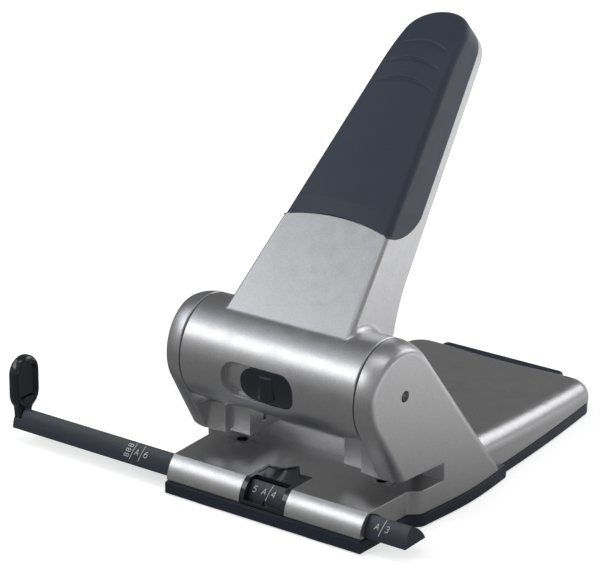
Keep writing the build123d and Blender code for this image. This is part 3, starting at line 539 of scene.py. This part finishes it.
def ribbon(line, width):
    """Left and right edge of a stroke: each point moved by half the width along the normal
    of the line's local direction."""
    step = np.gradient(line, axis=0)
    step /= np.linalg.norm(step, axis=1, keepdims=True) + 1e-9
    normal = np.stack([-step[:, 1], step[:, 0]], -1) * width / 2
    return line + normal, line - normal


def build_marks():
    """Paper-size marks on the guide's front: strokes in (across, up the face) laid on the
    rail's arc, where up is the arc's length from the foot."""
    s = sizes()
    size, stroke = s.mark_height / MM, s.mark_stroke / MM
    centre, radius = circle_through(RAIL_TOP, RAIL_MIDDLE, RAIL_FOOT)
    foot = math.atan2(RAIL_FOOT[1] - centre[1], RAIL_FOOT[0] - centre[0])
    points, faces = [], []

    def lay(corners):
        line = densify(corners)
        line[:, 0] += MARK_SLANT * (line[:, 1] - MARK_LINE - size / 2)
        left, right = ribbon(line, stroke)
        for edge_line in (left, right):
            turn = foot - edge_line[:, 1] / radius
            y = centre[0] + (radius + MARK_LIFT) * np.cos(turn)
            z = centre[1] + (radius + MARK_LIFT) * np.sin(turn)
            points.append(np.stack([edge_line[:, 0], y, z], -1) * MM)
        start, count = sum(len(p) for p in points[:-2]), len(line)
        faces.extend([start + i, start + i + 1, start + count + i + 1, start + count + i]
                     for i in range(count - 1))

    for word, middle in MARKS:
        for place, character in enumerate(word):
            step = (place - (len(word) - 1) / 2) * MARK_ADVANCE
            shift = middle + (step - GLYPH_WIDTH / 2) * size
            for line in glyph(character):
                lay(line * size + [shift, MARK_LINE])
    for row in (-1, 0, 1):
        for line in glyph("8"):
            turned = np.stack([-line[:, 1], line[:, 0]], -1) * STACK_SHARE * size
            lay(turned + [STACK_PLACE, MARK_LINE + STACK_RISE + row * STACK_PITCH])
    lay(glyph("|")[0] * size + [STACK_PLACE + STACK_BAR, MARK_LINE])
    return np.concatenate(points), faces


# ---- stage ------------------------------------------------------------------------------
CAMERA_AIM = (2.56, 103.04)                  # millimetres right of and above the origin
SENSOR_WIDTH = 36.0
OBJECT_MIDDLE = (0.0, 0.03, 0.08)
BACKDROP, ROOM_LIGHT, BACK_LIGHT = 0.93, 0.34, 0.14
BACK_WAY = (-0.52, 0.74, 0.42)
GLOW_WAY = (0.75, 0.66, 0.0)
GLOW_NEAR, GLOW_FAR = (0.08, 0.18), (0.42, 1.15)     # distance along GLOW_WAY, and strength
FLOOR_GLOW = 0.62                            # the floor's own light, as the camera sees it
WHITE, SKY = (1.0, 1.0, 1.0), (0.84, 0.91, 1.0)
# name, direction, distance, width and height, share of the key light's power, tint
SOFTBOXES = (
    ("Front softbox", (-0.50, -0.70, 0.62), 1.5, (1.1, 0.55), 1.0, WHITE),
    ("Top strip", (0.05, -0.15, 1.0), 1.3, (0.9, 0.25), 0.35, WHITE),
    ("Right softbox", (0.30, 0.80, 0.45), 1.5, (1.1, 0.9), 1.1, WHITE),
    ("Left softbox", (-0.80, -0.20, 0.62), 1.4, (0.6, 0.5), 0.3, SKY),
)


def camera_basis(studio):
    """Right, up and backward directions of the camera after its roll."""
    a, e, r = studio.azimuth, studio.elevation, studio.roll
    back = np.array([math.sin(a) * math.cos(e), -math.cos(a) * math.cos(e), math.sin(e)])
    right = np.array([math.cos(a), math.sin(a), 0.0])
    up = np.cross(back, right)
    return (math.cos(r) * right + math.sin(r) * up, -math.sin(r) * right + math.cos(r) * up, back)


def add_camera(studio):
    """Camera on the line back from its aim, at the studio's distance."""
    right, up, back = camera_basis(studio)
    aim = right * CAMERA_AIM[0] * MM + up * CAMERA_AIM[1] * MM
    data = bpy.data.cameras.new("Camera")
    data.sensor_width = SENSOR_WIDTH
    data.lens = studio.focal
    data.clip_start, data.clip_end = 0.05, 50.0
    camera = bpy.data.objects.new("Camera", data)
    matrix = Matrix.Identity(4)
    for column, axis in enumerate((right, up, back)):
        for row in range(3):
            matrix[row][column] = axis[row]
    matrix.translation = Vector(aim + back * studio.distance)
    camera.matrix_world = matrix
    bpy.context.collection.objects.link(camera)
    bpy.context.scene.camera = camera


def add_softbox(name, direction, distance, size, power, tint):
    """Rectangular area light that faces the middle of the object from a direction."""
    data = bpy.data.lights.new(name, "AREA")
    data.shape = "RECTANGLE"
    data.size, data.size_y = size
    data.energy = power
    data.color = tint
    light = bpy.data.objects.new(name, data)
    aim = Vector(OBJECT_MIDDLE)
    place = aim + Vector(direction).normalized() * distance
    light.location = place
    light.rotation_euler = (place - aim).to_track_quat("Z", "Y").to_euler()
    bpy.context.collection.objects.link(light)


def build_world():
    """Pale backdrop, and a dimmer room that darkens towards BACK_WAY for the reflections."""
    world = bpy.data.worlds.new("Studio")
    bpy.context.scene.world = world
    world.use_nodes = True
    tree = world.node_tree
    background = tree.nodes["Background"]
    coords = tree.nodes.new("ShaderNodeTexCoord")
    dot = tree.nodes.new("ShaderNodeVectorMath")
    dot.operation = "DOT_PRODUCT"
    tree.links.new(coords.outputs["Generated"], dot.inputs[0])
    dot.inputs[1].default_value = Vector(BACK_WAY).normalized()
    room = spread(tree, dot.outputs["Value"], 0.0, 0.85, ROOM_LIGHT, BACK_LIGHT)
    seen = tree.nodes.new("ShaderNodeLightPath").outputs["Is Camera Ray"]
    unseen = maths(tree, "SUBTRACT", 1.0, seen)
    value = maths(tree, "ADD", maths(tree, "MULTIPLY", room, unseen),
                  maths(tree, "MULTIPLY", seen, BACKDROP))
    tree.links.new(value, background.inputs["Color"])


def add_floor(studio):
    """Round floor in an even pale tone. The object itself sees a floor whose glow grows
    along GLOW_WAY, from the near side to the far right."""
    count, radius = 96, studio.floor_radius
    turn = np.linspace(0, 2 * math.pi, count, endpoint=False)
    ring = np.stack([np.cos(turn), np.sin(turn), 0 * turn], -1)
    points = np.concatenate([ring * radius, ring * 0.5, [[0, 0, 0]]])
    faces = [[i, (i + 1) % count, count + (i + 1) % count, count + i] for i in range(count)]
    faces += [[count + i, count + (i + 1) % count, 2 * count] for i in range(count)]
    material = bpy.data.materials.new("Studio floor")
    material.use_nodes = True
    tree = material.node_tree
    shader = tree.nodes["Principled BSDF"]
    coords = tree.nodes.new("ShaderNodeTexCoord")
    patch = noise(tree, coords.outputs["Object"], 3.0, 2.0)
    base = list(colours().floor)
    tree.links.new(mix_colour(tree, patch, [c * 0.985 for c in base], base),
                   shader.inputs["Base Color"])
    shader.inputs["Roughness"].default_value = 0.7
    shader.inputs["Specular IOR Level"].default_value = 0.1
    shader.inputs["Emission Color"].default_value = (1.0, 1.0, 1.0, 1.0)
    shader.inputs["Emission Strength"].default_value = FLOOR_GLOW
    along = tree.nodes.new("ShaderNodeVectorMath")
    along.operation = "DOT_PRODUCT"
    tree.links.new(coords.outputs["Object"], along.inputs[0])
    along.inputs[1].default_value = GLOW_WAY
    glow = tree.nodes.new("ShaderNodeEmission")
    tree.links.new(spread(tree, along.outputs["Value"], GLOW_NEAR[0], GLOW_FAR[0],
                          GLOW_NEAR[1], GLOW_FAR[1]), glow.inputs["Strength"])
    path = tree.nodes.new("ShaderNodeLightPath")
    choice = tree.nodes.new("ShaderNodeMixShader")
    tree.links.new(path.outputs["Is Camera Ray"], choice.inputs[0])
    tree.links.new(glow.outputs[0], choice.inputs[1])
    tree.links.new(shader.outputs[0], choice.inputs[2])
    tree.links.new(choice.outputs[0], tree.nodes["Material Output"].inputs["Surface"])
    floor = mesh_object("studio_floor", points, faces, material, smooth=False)


# ---- operators --------------------------------------------------------------------------
def report_done(operator, text):
    """Say what a step did, and give the result that Blender expects."""
    operator.report({"INFO"}, text)
    return {"FINISHED"}


class PUNCH_OT_finishes(bpy.types.Operator):
    """Build the finishes and give them to every CAD piece"""

    bl_idname = "punch.finishes"
    bl_label = "Finishes"

    def execute(self, context):
        build_finishes()
        for part in frame["record"]["subparts"]:
            dress(part["node"], FINISHES[FINISH_OF_SLOT[part["material_slot"]]])
        return report_done(self, "finishes placed")


class PUNCH_OT_grip(bpy.types.Operator):
    """Make the soft cover of the handle with its finger grooves"""

    bl_idname = "punch.grip"
    bl_label = "Soft grip"

    def execute(self, context):
        points, faces = build_grip()
        grip = mesh_object("soft_grip", points, faces, FINISHES["grip"])
        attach(grip, "lever")
        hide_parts("grip_cover")
        return report_done(self, "grip made")


class PUNCH_OT_paddle(bpy.types.Operator):
    """Make the dished paper stop on the guide's left end"""

    bl_idname = "punch.paddle"
    bl_label = "Paper stop"

    def execute(self, context):
        points, faces = build_paddle()
        paddle = mesh_object("stop_paddle", points, faces, FINISHES["gloss"])
        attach(paddle, "guide")
        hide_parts("paper_stop")
        return report_done(self, "paper stop made")


class PUNCH_OT_marks(bpy.types.Operator):
    """Print the paper-size marks on the guide"""

    bl_idname = "punch.marks"
    bl_label = "Guide marks"

    def execute(self, context):
        points, faces = build_marks()
        marks = mesh_object("guide_marks", points, faces, FINISHES["marks"], smooth=False)
        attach(marks, "guide")
        return report_done(self, "marks printed")


class PUNCH_OT_stage(bpy.types.Operator):
    """Set up the camera, the lights and the floor"""

    bl_idname = "punch.stage"
    bl_label = "Studio"

    def execute(self, context):
        studio = context.scene.punch_studio
        context.scene.view_settings.view_transform = "Standard"
        add_camera(studio)
        build_world()
        add_floor(studio)
        for name, direction, distance, size, share, tint in SOFTBOXES:
            add_softbox(name, direction, distance, size, studio.key * share, tint)
        return report_done(self, "studio ready")


class PUNCH_PT_panel(bpy.types.Panel):
    """Buttons for every step, in order"""

    bl_label = "Hole punch"
    bl_idname = "PUNCH_PT_panel"
    bl_space_type = "VIEW_3D"
    bl_region_type = "UI"
    bl_category = "Punch"

    def draw(self, context):
        for kind in STEPS:
            self.layout.operator(kind.bl_idname)


STEPS = (PUNCH_OT_finishes, PUNCH_OT_grip, PUNCH_OT_paddle, PUNCH_OT_marks, PUNCH_OT_stage)
CLASSES = (PunchSizes, PunchColours, PunchStudio, *STEPS, PUNCH_PT_panel)


def register():
    for kind in CLASSES:
        bpy.utils.register_class(kind)
    bpy.types.Scene.punch_sizes = PointerProperty(type=PunchSizes)
    bpy.types.Scene.punch_colours = PointerProperty(type=PunchColours)
    bpy.types.Scene.punch_studio = PointerProperty(type=PunchStudio)


def unregister():
    del bpy.types.Scene.punch_sizes
    del bpy.types.Scene.punch_colours
    del bpy.types.Scene.punch_studio
    for kind in reversed(CLASSES):
        bpy.utils.unregister_class(kind)


def main():
    """Run every step in order."""
    register()
    for kind in STEPS:
        family, action = kind.bl_idname.split(".")
        getattr(getattr(bpy.ops, family), action)()


if __name__ == "__main__":
    main()
